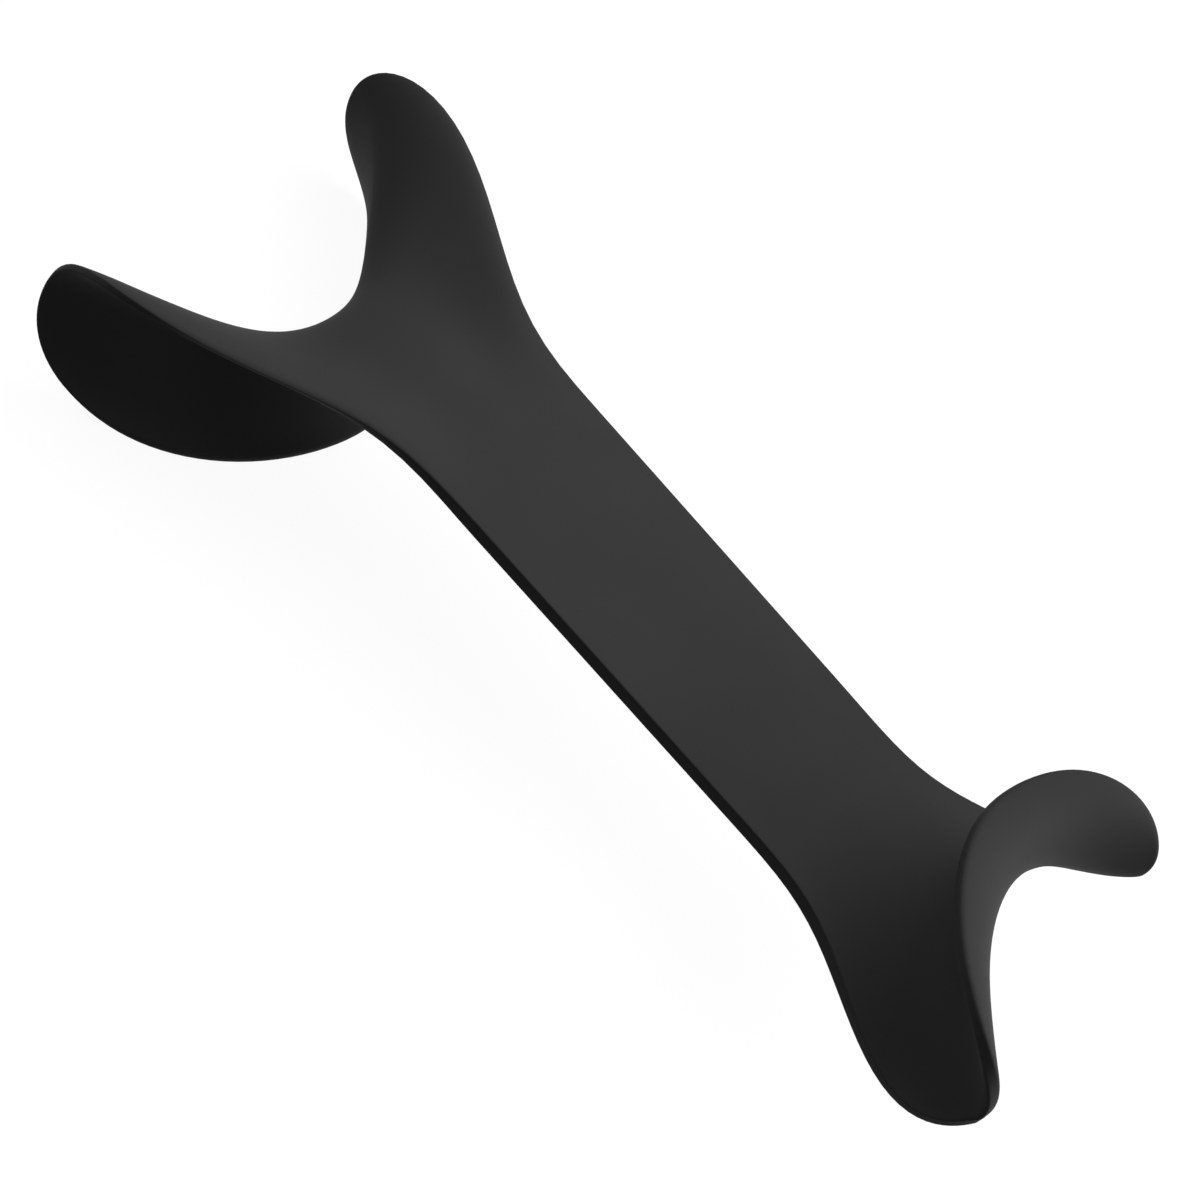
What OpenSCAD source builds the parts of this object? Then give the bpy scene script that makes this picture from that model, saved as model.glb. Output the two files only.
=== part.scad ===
// Double-ended cheek retractor, one moulded sheet that thins towards its horn tips and free lips
// A flat handle runs into two crescent hooks, the wide one folded down and the narrow one folded up
// Millimetres, +Z up, +X along the handle towards the narrow hook
// The origin is the centre of the flat underside of the handle

/* [Sheet] */
// Thickness of the moulded sheet
sheet = 2.3; // [2:0.1:3]
// Radius between a face of the sheet and its rim
edge_radius = 0.45; // [0.3:0.05:0.9]

/* [Handle] */
// Width of the handle
handle_width = 22; // [19:0.5:25]
// Straight length from the centre to the root of the wide hook
wide_root = 21; // [16:0.5:30]
// Straight length from the centre to the root of the narrow hook
narrow_root = 22; // [16:0.5:30]

/* [Wide hook] */
// Reach of the horn tips beyond the root
wide_tip_reach = 47; // [44:0.2:50]
// Distance of each horn tip from the centre line
wide_tip_side = 23.5; // [21:0.1:26]
// Rise of the horn tips off the handle plane
wide_tip_rise = 8.8; // [7:0.1:11]
// Reach of the fold at the bottom of the notch
wide_fold_reach = 25.8; // [24:0.1:28]
// Rise of the fold at the bottom of the notch
wide_fold_rise = 9.9; // [9:0.1:12]
// Reach of the free lip on the centre line
wide_lip_reach = 15.9; // [13:0.1:18]
// Share of the sheet's thickness left at the horn tips
wide_tip_share = 0.35; // [0.3:0.05:1]
// Share of the sheet's thickness left at the middle of the free lip
wide_lip_share = 0.5; // [0.3:0.05:1]
// Rise of the free lip on the centre line
wide_lip_rise = 19.1; // [16:0.1:21]

/* [Narrow hook] */
// Reach of the horn tips beyond the root
narrow_tip_reach = 37.4; // [35:0.1:40]
// Distance of each horn tip from the centre line
narrow_tip_side = 19.5; // [17:0.1:22]
// Rise of the horn tips off the handle plane
narrow_tip_rise = 8.6; // [7:0.1:11]
// Reach of the fold at the bottom of the notch
narrow_fold_reach = 23.3; // [21:0.1:25]
// Rise of the fold at the bottom of the notch
narrow_fold_rise = 11.3; // [10:0.1:14]
// Reach of the free lip on the centre line
narrow_lip_reach = 14.9; // [12:0.1:17]
// Share of the sheet's thickness left at the horn tips
narrow_tip_share = 0.7; // [0.3:0.05:1]
// Share of the sheet's thickness left at the middle of the free lip
narrow_lip_share = 0.6; // [0.3:0.05:1]
// Rise of the free lip on the centre line
narrow_lip_rise = 18.8; // [18:0.1:23]

/* [Hidden] */
moulded_black = [0.05, 0.05, 0.055];
$fn = 48;

half_width = handle_width / 2;

// Each hook is drawn from its root, which is the origin, out along +X with its fold rising in +Z.
// Four curves give its form on the +Y side, as pull points of Bezier curves. The spine runs along the
// centre line from the root to the fold, and the rim from the corner of the handle to the horn tip.
// The fold and the free lip run from the centre line to the same tip, which the rim passes through
// on the heading turn. The two values of curl are the pulls of the flange on its fold and on its lip.
// A taper holds the shares of thickness left at the tip and at the lip, and how late the rim thins.
wide_tip = [wide_tip_reach, wide_tip_side, wide_tip_rise];
wide_turn = heading(229, -84);
wide_spine = [
    [0, 0, 0],
    [10.1, 0, 0],
    [wide_fold_reach, 0, wide_fold_rise - 8.4],
    [wide_fold_reach, 0, wide_fold_rise]
];
wide_rim = [
    [0, half_width, 0],
    [12.9, half_width, 0],
    [20.2, half_width - 1.3, -1.3],
    [28.9, half_width + 20.1, 0],
    wide_tip + 14.8 * wide_turn,
    wide_tip
];
wide_fold = [
    [wide_fold_reach, 0, wide_fold_rise],
    [wide_fold_reach, 8.3, wide_fold_rise],
    [32, 11.6, 15.3],
    [35.9, 19.4, 5.2],
    wide_tip
];
wide_lip = [
    [wide_lip_reach, 0, wide_lip_rise],
    [wide_lip_reach, 8.9, wide_lip_rise],
    [25.5, 29.6, 24.4],
    wide_tip - 19.1 * wide_turn,
    wide_tip
];
wide_curl = [0.26, 0.24];
wide_taper = [wide_tip_share, wide_lip_share, 0.7];

narrow_tip = [narrow_tip_reach, narrow_tip_side, narrow_tip_rise];
narrow_turn = heading(119, -77);
narrow_spine = [
    [0, 0, 0],
    [17.9, 0, 0],
    [narrow_fold_reach, 0, narrow_fold_rise - 5.2],
    [narrow_fold_reach, 0, narrow_fold_rise]
];
narrow_rim = [
    [0, half_width, 0],
    [11.4, half_width, 0],
    [17.1, half_width - 1.5, -0.7],
    [23.5, half_width + 8, 0.1],
    narrow_tip + 13.8 * narrow_turn,
    narrow_tip
];
narrow_fold = [
    [narrow_fold_reach, 0, narrow_fold_rise],
    [narrow_fold_reach, 7.3, narrow_fold_rise],
    [29.5, 14.9, 7.9],
    [36, 18.2, 5.9],
    narrow_tip
];
narrow_lip = [
    [narrow_lip_reach, 0, narrow_lip_rise],
    [narrow_lip_reach, 8, narrow_lip_rise],
    [21, 22.8, 21.7],
    narrow_tip - 9.6 * narrow_turn,
    narrow_tip
];
narrow_curl = [0.43, 0.48];
narrow_taper = [narrow_tip_share, narrow_lip_share, 2.5];

// Steps of the surface grid: from the centre line to the rim, from the root to the fold, up the flange
across_steps = 24;
leg_steps = 15;
flange_steps = 8;
// Steps round a rounded edge, and the largest share of a flange that one may take near the tip
edge_steps = 3;
edge_share = 0.3;
// Share of the way to the horn tip from which the flange opens into a plain leaf
open_from = 0.45;

function mix(a, b, share) = a + share * (b - a);
function unit(v) = v / norm(v);
function heading(turn, pitch) = [cos(turn) * cos(pitch), sin(turn) * cos(pitch), sin(pitch)];
function ease(t) = t * t * (3 - 2 * t);

// Point at a share t along a Bezier curve with any number of pull points
function along(pulls, t) = len(pulls) == 1
    ? pulls[0]
    : along([for (i = [0 : len(pulls) - 2]) mix(pulls[i], pulls[i + 1], t)], t);

// Point of the leg, u of the way from the centre line to the rim and v of the way from the root to the fold
function leg_point(spine, rim, fold, u, v) =
    let (
        settled = ease(v),
        spine_sag = along(spine, v) - mix(spine[0], last(spine), settled),
        rim_sag = along(rim, v) - mix(rim[0], last(rim), settled)
    )
    mix(mix(spine[0], rim[0], u), along(fold, u), settled) + mix(spine_sag, rim_sag, u * u);

// Point of the flange, u of the way to the horn tip and q of the way from the fold to the lip
function flange_pulls(spine, rim, fold, lip, curl, u) =
    let (
        crest = along(fold, u),
        edge = along(lip, u),
        open = pow(max(0, (u - open_from) / (1 - open_from)), 2),
        back = crest - edge,
        rise = mix(end_pull(spine), end_pull(rim), u * u)
    )
    [
        crest,
        crest + curl[0] * norm(back) * unit(rise),
        edge + curl[1] * mix([back.x, back.y, 0], back, open),
        edge
    ];
function last(list) = list[len(list) - 1];
function end_pull(pulls) = (len(pulls) - 1) * (last(pulls) - pulls[len(pulls) - 2]);

// Share of the way across at step i, where a whole share measures as much as width
function across(i, width) = i <= across_steps
    ? (1 - edge_radius / width) * (1 - pow(1 - i / across_steps, 1.4))
    : 1 - edge_radius / width * (1 - sin(90 * (i - across_steps) / edge_steps));
function rim_width(spine, rim, fold, v) =
    100 * norm(leg_point(spine, rim, fold, 1, v) - leg_point(spine, rim, fold, 0.99, v));

// Shares up a flange, even and then close together over the rounded edge of the lip
function flange_shares(pulls) =
    let (edge = min(edge_radius / (3 * norm(pulls[3] - pulls[2])), edge_share))
    concat(
        [for (j = [1 : flange_steps]) (1 - edge) * j / flange_steps],
        [for (j = [1 : edge_steps]) 1 - edge * (1 - sin(90 * j / edge_steps))]
    );

// Points of the sheet's middle surface on the +Y side: row i runs from the root over the fold to the lip
function half_surface(spine, rim, fold, lip, curl) =
    let (
        widths = [for (j = [0 : leg_steps]) rim_width(spine, rim, fold, sin(90 * j / leg_steps))]
    )
    [for (i = [0 : across_steps + edge_steps])
        let (flange = flange_pulls(spine, rim, fold, lip, curl, across(i, last(widths))))
        concat(
            [for (j = [0 : leg_steps])
                leg_point(spine, rim, fold, across(i, widths[j]), sin(90 * j / leg_steps))],
            i == across_steps + edge_steps
                ? [for (j = [1 : flange_steps + edge_steps]) last(rim)]
                : [for (q = flange_shares(flange)) along(flange, q)]
        )
    ];
function both_sides(half) = concat(
    [for (i = [len(half) - 1 : -1 : 1]) [for (p = half[i]) [p.x, -p.y, p.z]]],
    half
);

// Distance from a point to a line of points
function to_segment(p, a, b) =
    let (t = (p - a) * (b - a) / ((b - a) * (b - a)))
    norm(p - mix(a, b, min(max(t, 0), 1)));
function to_line(p, line) = min([for (i = [0 : len(line) - 2]) to_segment(p, line[i], line[i + 1])]);

// Share of the sheet's thickness left at a point of the grid, less towards the horn tip and the lip
function thin_at(i, j, taper) =
    let (
        out = min(1, i / across_steps),
        on_leg = 1 - (1 - taper[0]) * pow(sin(90 * min(1, j / leg_steps)), taper[2]) * pow(out, 1.5),
        on_lip = mix(taper[1], taper[0], pow(out, 3))
    )
    mix(on_leg, on_lip, max(0, j - leg_steps) / (flange_steps + edge_steps));

// Half of the thickness at a distance from the rim, of a sheet thinned to a share
function half_sheet(distance, share) =
    let (short = max(0, 1 - distance / edge_radius))
    share * (sheet / 2 - edge_radius * (1 - sqrt(1 - short * short)));

function normal_at(grid, i, j) =
    let (
        before = grid[max(i - 1, 0)][j],
        after = grid[min(i + 1, len(grid) - 1)][j],
        left = grid[i][max(j - 1, 0)],
        right = grid[i][min(j + 1, len(grid[i]) - 1)]
    )
    unit(cross(after - before, right - left));

// One crescent hook: the middle surface thickened to both sides into a closed sheet with rounded edges
module hook(spine, rim, fold, lip, curl, taper) {
    half = half_surface(spine, rim, fold, lip, curl);
    grid = both_sides(half);
    end_row = len(grid) - 1;
    end_column = len(grid[0]) - 1;
    half_end = len(half) - 1;
    edge_line = concat(
        [for (j = [0 : leg_steps]) half[half_end][j]],
        [for (i = [half_end - 1 : -1 : 0]) half[i][end_column]]
    );
    half_steps = [for (i = [0 : half_end]) [for (j = [0 : end_column])
        let (
            column = i == half_end ? min(j, leg_steps) : j,
            facing = j == 0 ? [0, 0, -1] : normal_at(grid, half_end + i, column)
        )
        half_sheet(to_line(half[i][j], edge_line), thin_at(i, j, taper)) * facing
    ]];
    steps = both_sides(half_steps);
    points = [for (side = [1, -1]) for (i = [0 : end_row]) for (j = [0 : end_column])
        grid[i][j] + side * steps[i][j]];
    // Number of a point: beyond the fold, the whole of an end row is the horn tip
    function id(side, i, j) = ((side * (end_row + 1)) + i) * (end_column + 1)
        + (i == 0 || i == end_row ? min(j, leg_steps) : j);
    function quad(a, b, c, d) = [
        for (t = [[a, b, c], [a, c, d]])
        if (t[0] != t[1] && t[1] != t[2] && t[2] != t[0])
        t
    ];
    faces = concat(
        [for (i = [0 : end_row - 1]) for (j = [0 : end_column - 1]) each concat(
            quad(id(0, i, j), id(0, i, j + 1), id(0, i + 1, j + 1), id(0, i + 1, j)),
            quad(id(1, i, j), id(1, i + 1, j), id(1, i + 1, j + 1), id(1, i, j + 1))
        )],
        [for (i = [0 : end_row - 1]) each concat(
            quad(id(0, i, 0), id(0, i + 1, 0), id(1, i + 1, 0), id(1, i, 0)),
            quad(id(0, i + 1, end_column), id(0, i, end_column), id(1, i, end_column), id(1, i + 1, end_column))
        )],
        [for (j = [0 : leg_steps - 1]) each concat(
            quad(id(0, 0, j + 1), id(0, 0, j), id(1, 0, j), id(1, 0, j + 1)),
            quad(id(0, end_row, j), id(0, end_row, j + 1), id(1, end_row, j + 1), id(1, end_row, j))
        )]
    );
    polyhedron(points, faces);
}

module handle() {
    flat_width = handle_width - 2 * edge_radius;
    flat_rim = sheet - 2 * edge_radius;
    color(moulded_black)
        translate([-wide_root, 0, sheet / 2])
        rotate([90, 0, 90])
        linear_extrude(wide_root + narrow_root) {
            square([flat_width, sheet], center = true);
            square([handle_width, flat_rim], center = true);
            for (y = [-1, 1], z = [-1, 1])
                translate([y * flat_width / 2, z * flat_rim / 2])
                circle(edge_radius);
        }
}

module wide_hook() {
    color(moulded_black)
        translate([-wide_root, 0, sheet / 2])
        rotate([0, 180, 0])
        hook(wide_spine, wide_rim, wide_fold, wide_lip, wide_curl, wide_taper);
}

module narrow_hook() {
    color(moulded_black)
        translate([narrow_root, 0, sheet / 2])
        hook(narrow_spine, narrow_rim, narrow_fold, narrow_lip, narrow_curl, narrow_taper);
}

handle();
wide_hook();
narrow_hook();
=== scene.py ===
"""Dresses a lip and cheek retractor as one continuous moulding of satin black plastic.

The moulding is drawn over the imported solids, from the two hooks' own meshes, and stands over a pale
floor in soft studio light. All sizes are in metres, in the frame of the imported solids.
"""

import logging
import math
from dataclasses import dataclass, field
from enum import Enum
from typing import Any

import bmesh
import bpy
from mathutils import Matrix, Vector
from mathutils.kdtree import KDTree


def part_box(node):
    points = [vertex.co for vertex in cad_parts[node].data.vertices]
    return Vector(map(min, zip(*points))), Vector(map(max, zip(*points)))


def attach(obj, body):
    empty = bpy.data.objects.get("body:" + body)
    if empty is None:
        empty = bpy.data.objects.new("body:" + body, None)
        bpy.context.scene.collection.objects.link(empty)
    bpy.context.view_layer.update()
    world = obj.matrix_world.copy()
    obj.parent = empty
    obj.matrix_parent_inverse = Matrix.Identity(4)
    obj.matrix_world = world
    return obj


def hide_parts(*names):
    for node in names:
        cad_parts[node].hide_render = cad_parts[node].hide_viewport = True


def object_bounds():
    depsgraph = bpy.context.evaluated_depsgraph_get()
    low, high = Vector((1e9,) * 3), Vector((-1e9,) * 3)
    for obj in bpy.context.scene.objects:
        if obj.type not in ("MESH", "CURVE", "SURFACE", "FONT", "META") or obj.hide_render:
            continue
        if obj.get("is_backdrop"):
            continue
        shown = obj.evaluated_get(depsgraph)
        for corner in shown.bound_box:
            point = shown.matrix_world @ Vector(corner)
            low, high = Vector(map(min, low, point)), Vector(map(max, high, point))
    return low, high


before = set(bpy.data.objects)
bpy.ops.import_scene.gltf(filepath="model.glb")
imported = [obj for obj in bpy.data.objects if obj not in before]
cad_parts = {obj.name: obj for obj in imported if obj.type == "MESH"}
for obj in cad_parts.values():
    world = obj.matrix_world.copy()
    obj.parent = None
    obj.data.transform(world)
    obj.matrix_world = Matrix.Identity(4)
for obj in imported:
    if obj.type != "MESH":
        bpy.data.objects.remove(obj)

MILLIMETRE = 0.001
HANDLE = "handle"
LOG = logging.getLogger("retractor")


class Hook(Enum):
    """The two ends of the retractor, by the name of their solid."""

    WIDE = "wide_hook"
    NARROW = "narrow_hook"


def grey(level: float) -> tuple[float, float, float, float]:
    """An opaque grey, from nought for black to one for white."""
    return (level, level, level, 1.0)


def to_mesh(name: str, shape: bmesh.types.BMesh) -> bpy.types.Mesh:
    """Writes a shape to a new mesh and frees the shape.

    Args:
        name: Name of the mesh.
        shape: The shape that was worked on.

    Returns:
        The new mesh.
    """
    mesh = bpy.data.meshes.new(name)
    shape.to_mesh(mesh)
    shape.free()
    return mesh


def show(name: str, data: bpy.types.ID) -> bpy.types.Object:
    """Puts a mesh, lamp or camera in the scene as an object of its own.

    Args:
        name: Name of the object.
        data: The mesh, lamp or camera.

    Returns:
        The object.
    """
    shown = bpy.data.objects.new(name, data)
    bpy.context.scene.collection.objects.link(shown)
    return shown


class Value:
    """A shader socket that takes part in Python sums and products."""

    def __init__(self, shader: "Shader", socket: bpy.types.NodeSocket | None) -> None:
        """Keeps the output socket and the shader that new nodes go to."""
        self.shader = shader
        self.socket = socket

    def _math(self, operation: str, first: Any, second: Any) -> "Value":
        """Adds a Math node for one operation on two values."""
        return self.shader.node("ShaderNodeMath", {"operation": operation}, {0: first, 1: second})

    def __add__(self, other: Any) -> "Value":
        """Sum of two values."""
        return self._math("ADD", self, other)

    __radd__ = __add__

    def __sub__(self, other: Any) -> "Value":
        """Difference of two values."""
        return self._math("SUBTRACT", self, other)

    def __rsub__(self, other: Any) -> "Value":
        """Difference of a number and this value."""
        return self._math("SUBTRACT", other, self)

    def __mul__(self, other: Any) -> "Value":
        """Product of two values."""
        return self._math("MULTIPLY", self, other)

    __rmul__ = __mul__

    def larger(self, other: Any) -> "Value":
        """The larger of two values."""
        return self._math("MAXIMUM", self, other)


class Shader:
    """The nodes of a material or of the world."""

    def __init__(self, owner: bpy.types.Material | bpy.types.World) -> None:
        """Starts with no nodes.

        Args:
            owner: What the nodes belong to.
        """
        owner.use_nodes = True
        self.tree = owner.node_tree
        self.tree.nodes.clear()

    def node(
        self,
        kind: str,
        settings: dict[str, Any] | None = None,
        sockets: dict[int | str, Any] | None = None,
        output: int | str = 0,
    ) -> Value:
        """Adds one node.

        Args:
            kind: Blender's type name of the node.
            settings: Properties of the node, set before its sockets.
            sockets: Values or links for its inputs, by number or name.
            output: The output that is returned, by number or name.

        Returns:
            The chosen output as a value.
        """
        made = self.tree.nodes.new(kind)
        for name, setting in (settings or {}).items():
            setattr(made, name, setting)
        for key, value in (sockets or {}).items():
            if isinstance(value, Value):
                self.tree.links.new(value.socket, made.inputs[key])
            else:
                made.inputs[key].default_value = value
        return Value(self, made.outputs[output] if made.outputs else None)

    def seen_directly(self) -> Value:
        """Tells rays that show the surface from soft light that it gives.

        Returns:
            One for the camera's rays and for reflected and transmitted ones, and else nought.
        """
        kinds = ("Is Camera Ray", "Is Glossy Ray", "Is Transmission Ray")
        camera, glossy, clear = (self.node("ShaderNodeLightPath", output=kind) for kind in kinds)
        return camera.larger(glossy).larger(clear)


@dataclass(frozen=True)
class SatinPlastic:
    """Satin black plastic with the fine even grain of a blasted mould.

    The grain and the flow marks are procedural, on the object's own coordinates.
    """

    name: str = "satin_black_plastic"
    base: tuple[float, float, float] = (0.037, 0.037, 0.038)
    base_shift: float = 0.12
    specular: float = 0.015
    roughness: float = 0.60
    roughness_shift: float = 0.07
    flow_share: float = 0.6
    noise_middle: float = 0.5
    grain_size: float = 0.16 * MILLIMETRE
    grain_height: float = 0.006 * MILLIMETRE
    grain_strength: float = 0.55
    flow_size: float = 14 * MILLIMETRE
    cloud_size: float = 14 * MILLIMETRE / 9

    def build(self) -> bpy.types.Material:
        """Builds the material.

        Returns:
            The finished material.
        """
        material = bpy.data.materials.new(self.name)
        shader = Shader(material)
        place = shader.node("ShaderNodeTexCoord", output="Object")
        flow = self._noise(shader, place, self.flow_size, detail=3.0)
        cloud = self._noise(shader, place, self.cloud_size, detail=2.0)
        grain = self._noise(shader, place, self.grain_size, detail=1.0)
        darker, lighter = self._colour(1 - self.base_shift), self._colour(1 + self.base_shift)
        tint = shader.node(
            "ShaderNodeMix",
            {"data_type": "RGBA"},
            {"Factor": flow, "A": darker, "B": lighter},
            output=2,
        )
        mottle = self.flow_share * flow + (1 - self.flow_share) * cloud - self.noise_middle
        roughness = self.roughness + self.roughness_shift * mottle * (1 / self.noise_middle)
        normal = shader.node(
            "ShaderNodeBump",
            sockets={
                "Strength": self.grain_strength,
                "Distance": self.grain_height,
                "Height": grain,
            },
        )
        surface = shader.node(
            "ShaderNodeBsdfPrincipled",
            sockets={
                "Base Color": tint,
                "Roughness": roughness,
                "Specular IOR Level": self.specular,
                "Normal": normal,
            },
        )
        shader.node("ShaderNodeOutputMaterial", sockets={"Surface": surface})
        return material

    def _colour(self, share: float) -> tuple[float, float, float, float]:
        """The base colour times a share."""
        red, green, blue = self.base
        return (red * share, green * share, blue * share, 1.0)

    @staticmethod
    def _noise(shader: Shader, place: Value, size: float, detail: float) -> Value:
        """Noise whose blots are about as large as size."""
        sockets = {"Vector": place, "Scale": 1 / size, "Detail": detail}
        return shader.node("ShaderNodeTexNoise", sockets=sockets)


@dataclass(frozen=True)
class CrispRim:
    """The fine, crisp edge that a mould leaves along the rim of a hook's sheet.

    The solids round both edges of the rim more generously. Here that round is drawn out to a
    smaller one, and the rim's own face and the sheet's two broad faces stay where they are. Where
    the sheet thins to the least share of its thickness, the rim stays as round as it was. The
    reach is how far in from the rim the sheet's points move along, in radii of the solids' round.
    """

    sheet: float = 2.3 * MILLIMETRE
    round_radius: float = 0.45 * MILLIMETRE
    crisp_radius: float = 0.18 * MILLIMETRE
    least_share: float = 0.75
    reach: float = 4.0

    def apply(self, mesh: bmesh.types.BMesh) -> None:
        """Draws out the rim of a hook.

        Args:
            mesh: The hook as four-sided faces, open only at its root.
        """
        rungs = self._rungs(mesh)
        tree = KDTree(2 * len(rungs))
        corners = []
        for rung in rungs:
            out = sum((face.normal for face in rung.link_faces), Vector()).normalized()
            for near, far in (rung.verts, reversed(rung.verts)):
                up = (near.co - far.co).normalized()
                corners.append((near.co.copy(), out, up, self._share(rung)))
                tree.insert(near.co, len(corners) - 1)
        tree.balance()
        for vertex in mesh.verts:
            _, index, gap = tree.find(vertex.co)
            if gap < self.reach * self.round_radius:
                vertex.co += self._move(vertex.co, *corners[index])

    def _move(self, place: Vector, corner: Vector, out: Vector, up: Vector, share: float) -> Vector:
        """How far a point near the rim is drawn out.

        Args:
            place: The point.
            corner: Nearest corner of the rim's face.
            out: Way out of the rim's face.
            up: Way from the rim's other corner to this one.
            share: Share of the sheet's thickness that is left here.

        Returns:
            The move of the point.
        """
        crispness = max(0.0, (share - self.least_share) / (1 - self.least_share))
        step = (self.round_radius - self.crisp_radius) * min(1.0, crispness)
        inward = max(0.0, (corner - place).dot(out)) / self.round_radius
        if inward < 1:
            rise = 1 - math.sqrt(1 - (1 - inward) ** 2)
            return step * (inward * out + share * rise * up)
        return step * max(0.0, (self.reach - inward) / (self.reach - 1)) * out

    def _rungs(self, mesh: bmesh.types.BMesh) -> list[bmesh.types.BMEdge]:
        """Edges across the rim's face, from both sides of the root to where the sheet has thinned.

        Args:
            mesh: The hook as four-sided faces, open only at its root.

        Returns:
            The edges of both sides, each side in order from the root.
        """
        ends = [edge for edge in mesh.edges if edge.is_boundary]
        rungs = []
        for side in (-1, 1):
            rung = max(ends, key=lambda edge: min(side * vertex.co.y for vertex in edge.verts))
            face = rung.link_faces[0]
            rungs.append(rung)
            while len(face.verts) == 4 and self._share(rung) > self.least_share:
                loop = next(corner for corner in face.loops if corner.edge is rung)
                rung = loop.link_loop_next.link_loop_next.edge
                face = next(other for other in rung.link_faces if other is not face)
                rungs.append(rung)
        return rungs

    def _share(self, rung: bmesh.types.BMEdge) -> float:
        """Share of the sheet's full thickness that is left at an edge across the rim's face."""
        return rung.calc_length() / (self.sheet - 2 * self.round_radius)


@dataclass
class Moulding:
    """The whole retractor: a flat handle that runs without a seam into its two hooks.

    The bend and the skew are the most, in degrees, that two triangles of the solids may have
    between them and still be two halves of one four-sided face.
    """

    name: str = "retractor_moulding"
    body: str = "root"
    slot: str = "moulded_plastic"
    finish: SatinPlastic = field(default_factory=SatinPlastic)
    rim: CrispRim = field(default_factory=CrispRim)
    weld: float = 0.002 * MILLIMETRE
    most_bend: float = 60.0
    most_skew: float = 80.0
    handle_rings: int = 11
    smooth_levels: int = 1

    def build(self) -> bpy.types.Object:
        """Builds, dresses and places the piece.

        Returns:
            The finished piece, which rides on its body in place of the three solids.
        """
        mesh = bmesh.new()
        for hook in Hook:
            half = self._hook_mesh(hook)
            self.rim.apply(half)
            self._add(mesh, half)
        self._join_roots(mesh)
        bmesh.ops.recalc_face_normals(mesh, faces=mesh.faces)
        piece = show(self.name, to_mesh(self.name, mesh))
        piece.data.shade_smooth()
        subdivision = piece.modifiers.new("smooth", "SUBSURF")
        subdivision.levels = self.smooth_levels
        subdivision.render_levels = self.smooth_levels
        piece.data.materials.append(self.finish.build())
        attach(piece, self.body)
        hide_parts(HANDLE, *(hook.value for hook in Hook))
        return piece

    def _hook_mesh(self, hook: Hook) -> bmesh.types.BMesh:
        """A hook's surface as four-sided faces, welded and open at its root.

        Args:
            hook: The end of the retractor.

        Returns:
            The surface as a new mesh.
        """
        mesh = bmesh.new()
        mesh.from_mesh(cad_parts[hook.value].data)
        bmesh.ops.remove_doubles(mesh, verts=mesh.verts, dist=self.weld)
        root = self._root(hook)
        ends = [f for f in mesh.faces if all(abs(v.co.x - root) < self.weld for v in f.verts)]
        bmesh.ops.delete(mesh, geom=ends, context="FACES")
        bmesh.ops.join_triangles(
            mesh,
            faces=mesh.faces,
            angle_face_threshold=math.radians(self.most_bend),
            angle_shape_threshold=math.radians(self.most_skew),
            topology_influence=1.0,
        )
        mesh.normal_update()
        return mesh

    @staticmethod
    def _root(hook: Hook) -> float:
        """Place along X at which a hook leaves the handle."""
        low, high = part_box(HANDLE)
        return low.x if hook is Hook.WIDE else high.x

    @staticmethod
    def _add(mesh: bmesh.types.BMesh, part: bmesh.types.BMesh) -> None:
        """Adds a part to the mesh and frees the part.

        Args:
            mesh: The mesh that grows.
            part: The part that goes into it.
        """
        carrier = to_mesh("carrier", part)
        mesh.from_mesh(carrier)
        bpy.data.meshes.remove(carrier)

    def _join_roots(self, mesh: bmesh.types.BMesh) -> None:
        """Draws the handle between the two open roots, in even rings.

        Args:
            mesh: The mesh with both hooks.
        """
        open_edges = [edge for edge in mesh.edges if edge.is_boundary]
        bridge = bmesh.ops.bridge_loops(mesh, edges=open_edges)
        long_edges = [e for e in bridge["edges"] if e.verts[0].co.x * e.verts[1].co.x < 0]
        bmesh.ops.subdivide_edges(
            mesh, edges=long_edges, cuts=self.handle_rings, use_grid_fill=True
        )


@dataclass(frozen=True)
class PhotoView:
    """The camera at the photograph's angle, aimed at the middle of the handle.

    Tilt leans the view from straight down towards the near side, lean turns it along the handle and
    roll turns the picture, all in degrees. The frame is taken as square.
    """

    name: str = "photo_view"
    tilt: float = 34.6
    lean: float = 4.25
    roll: float = 48.2
    distance: float = 202.0 * MILLIMETRE
    lens: float = 55.35
    sensor: float = 36.0
    shift_x: float = -0.0484
    shift_y: float = 0.0055
    clip_start: float = 10 * MILLIMETRE

    def build(self) -> bpy.types.Object:
        """Builds the camera and makes it the scene's own.

        Returns:
            The camera.
        """
        data = bpy.data.cameras.new(self.name)
        data.lens = self.lens
        data.sensor_width = self.sensor
        data.shift_x = self.shift_x
        data.shift_y = self.shift_y
        data.clip_start = self.clip_start
        camera = show(self.name, data)
        turn = self.turn()
        _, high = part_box(HANDLE)
        middle = Vector((0.0, 0.0, high.z / 2))
        back = turn @ Vector((0.0, 0.0, self.distance))
        camera.matrix_world = Matrix.Translation(middle + back) @ turn.to_4x4()
        bpy.context.scene.camera = camera
        return camera

    def turn(self) -> Matrix:
        """Turns the three angles into one rotation.

        Returns:
            Rotation whose columns are the picture's right, up and towards the camera.
        """
        tilt = Matrix.Rotation(math.radians(self.tilt), 3, "X")
        lean = Matrix.Rotation(math.radians(-self.lean), 3, "Y")
        roll = Matrix.Rotation(math.radians(self.roll), 3, "Z")
        return tilt @ lean @ roll


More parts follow.
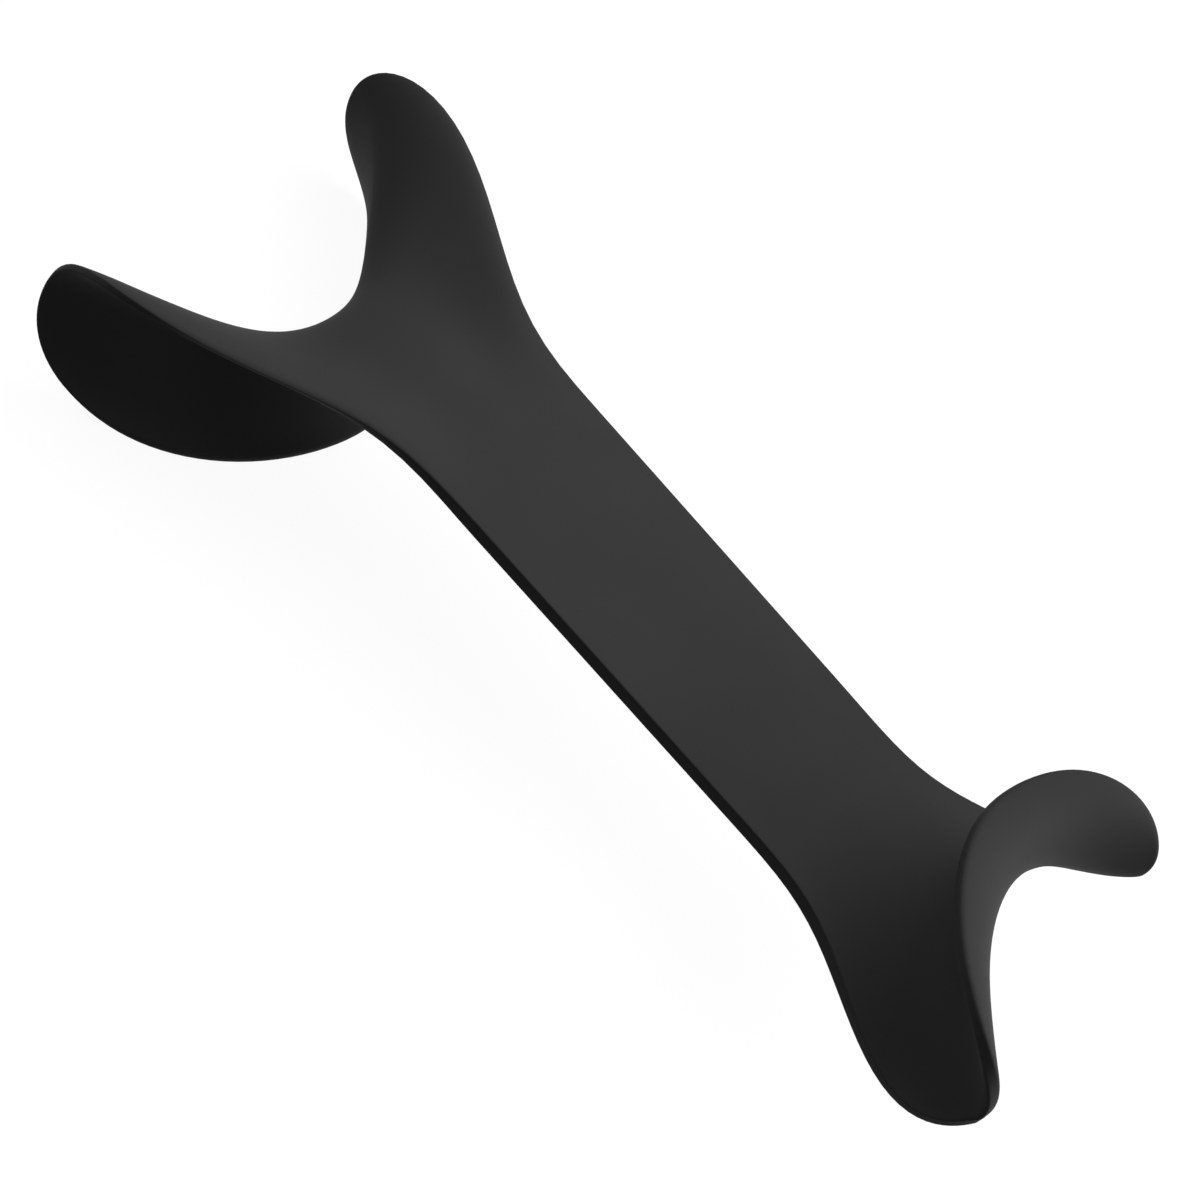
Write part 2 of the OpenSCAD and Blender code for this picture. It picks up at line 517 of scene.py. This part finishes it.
@dataclass(frozen=True)
class Softbox:
    """A square soft lamp, placed by its direction in the picture: right, up and to the camera."""

    name: str
    direction: tuple[float, float, float]
    distance: float
    side: float
    power: float

    def build(self, view: PhotoView) -> bpy.types.Object:
        """Builds the lamp, aimed at the middle of the handle.

        Args:
            view: The camera whose picture gives the direction.

        Returns:
            The lamp.
        """
        data = bpy.data.lights.new(self.name, "AREA")
        data.shape = "SQUARE"
        data.size = self.side
        data.energy = self.power
        lamp = show(self.name, data)
        towards = view.turn() @ Vector(self.direction).normalized()
        aim = towards.to_track_quat("Z", "Y").to_matrix().to_4x4()
        lamp.matrix_world = Matrix.Translation(towards * self.distance) @ aim
        return lamp


@dataclass(frozen=True)
class PaleFloor:
    """A plain white floor under the object's lowest point, which keeps a soft shadow."""

    side: float = 4.0
    shade: float = 0.1
    glow: float = 0.93

    def build(self, height: float) -> bpy.types.Object:
        """Builds the floor.

        Args:
            height: Height of the floor.

        Returns:
            The floor, which is no part of the object.
        """
        mesh = bmesh.new()
        bmesh.ops.create_grid(mesh, x_segments=1, y_segments=1, size=self.side / 2)
        bmesh.ops.translate(mesh, verts=mesh.verts, vec=(0.0, 0.0, height))
        floor = show("floor", to_mesh("floor", mesh))
        floor.data.materials.append(self._material())
        floor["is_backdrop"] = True
        return floor

    def _material(self) -> bpy.types.Material:
        """A matt grey that glows white where it is seen, so that its shadow stays light.

        Returns:
            The finished material.
        """
        material = bpy.data.materials.new("pale_floor")
        shader = Shader(material)
        glow = self.glow * shader.seen_directly()
        matt = shader.node("ShaderNodeBsdfDiffuse", sockets={"Color": grey(self.shade)})
        white = shader.node("ShaderNodeEmission", sockets={"Color": grey(1.0), "Strength": glow})
        surface = shader.node("ShaderNodeAddShader", sockets={0: matt, 1: white})
        shader.node("ShaderNodeOutputMaterial", sockets={"Surface": surface})
        return material


@dataclass(frozen=True)
class Surround:
    """White surroundings for the camera and reflections, with a softer light on the object."""

    light: float = 0.04

    def build(self) -> bpy.types.World:
        """Builds the world and makes it the scene's own.

        Returns:
            The world.
        """
        world = bpy.data.worlds.new("surround")
        shader = Shader(world)
        strength = self.light + (1 - self.light) * shader.seen_directly()
        surface = shader.node(
            "ShaderNodeBackground", sockets={"Color": grey(1.0), "Strength": strength}
        )
        shader.node("ShaderNodeOutputWorld", sockets={"Surface": surface})
        bpy.context.scene.world = world
        return world


@dataclass
class Studio:
    """The camera, the soft lamps, the floor and the surroundings."""

    view: PhotoView = field(default_factory=PhotoView)
    floor: PaleFloor = field(default_factory=PaleFloor)
    surround: Surround = field(default_factory=Surround)
    lamps: tuple[Softbox, ...] = (
        Softbox("key_softbox", (0.66, 0.56, 0.5), distance=1.0, side=1.0, power=9.6),
        Softbox("back_softbox", (-0.43, 0.75, 0.5), distance=1.0, side=1.0, power=4.4),
        Softbox("side_softbox", (0.94, -0.34, 0.0), distance=1.4, side=0.8, power=18.5),
    )

    def build(self) -> None:
        """Builds everything round the object."""
        self.view.build()
        for lamp in self.lamps:
            lamp.build(self.view)
            LOG.info("lamp %s", lamp.name)
        low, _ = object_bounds()
        self.floor.build(low.z)
        self.surround.build()
        bpy.context.scene.view_settings.view_transform = "Standard"


def corners() -> list[list[float]]:
    """Lowest and highest corner of what is shown, as plain lists."""
    return [list(corner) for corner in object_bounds()]


def main() -> None:
    """Builds the moulding and the studio."""
    logging.basicConfig(level=logging.INFO, format="%(message)s")
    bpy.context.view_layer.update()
    piece = Moulding().build()
    LOG.info("piece %s, %d faces before smoothing", piece.name, len(piece.data.polygons))
    Studio().build()


if __name__ == "__main__":
    main()
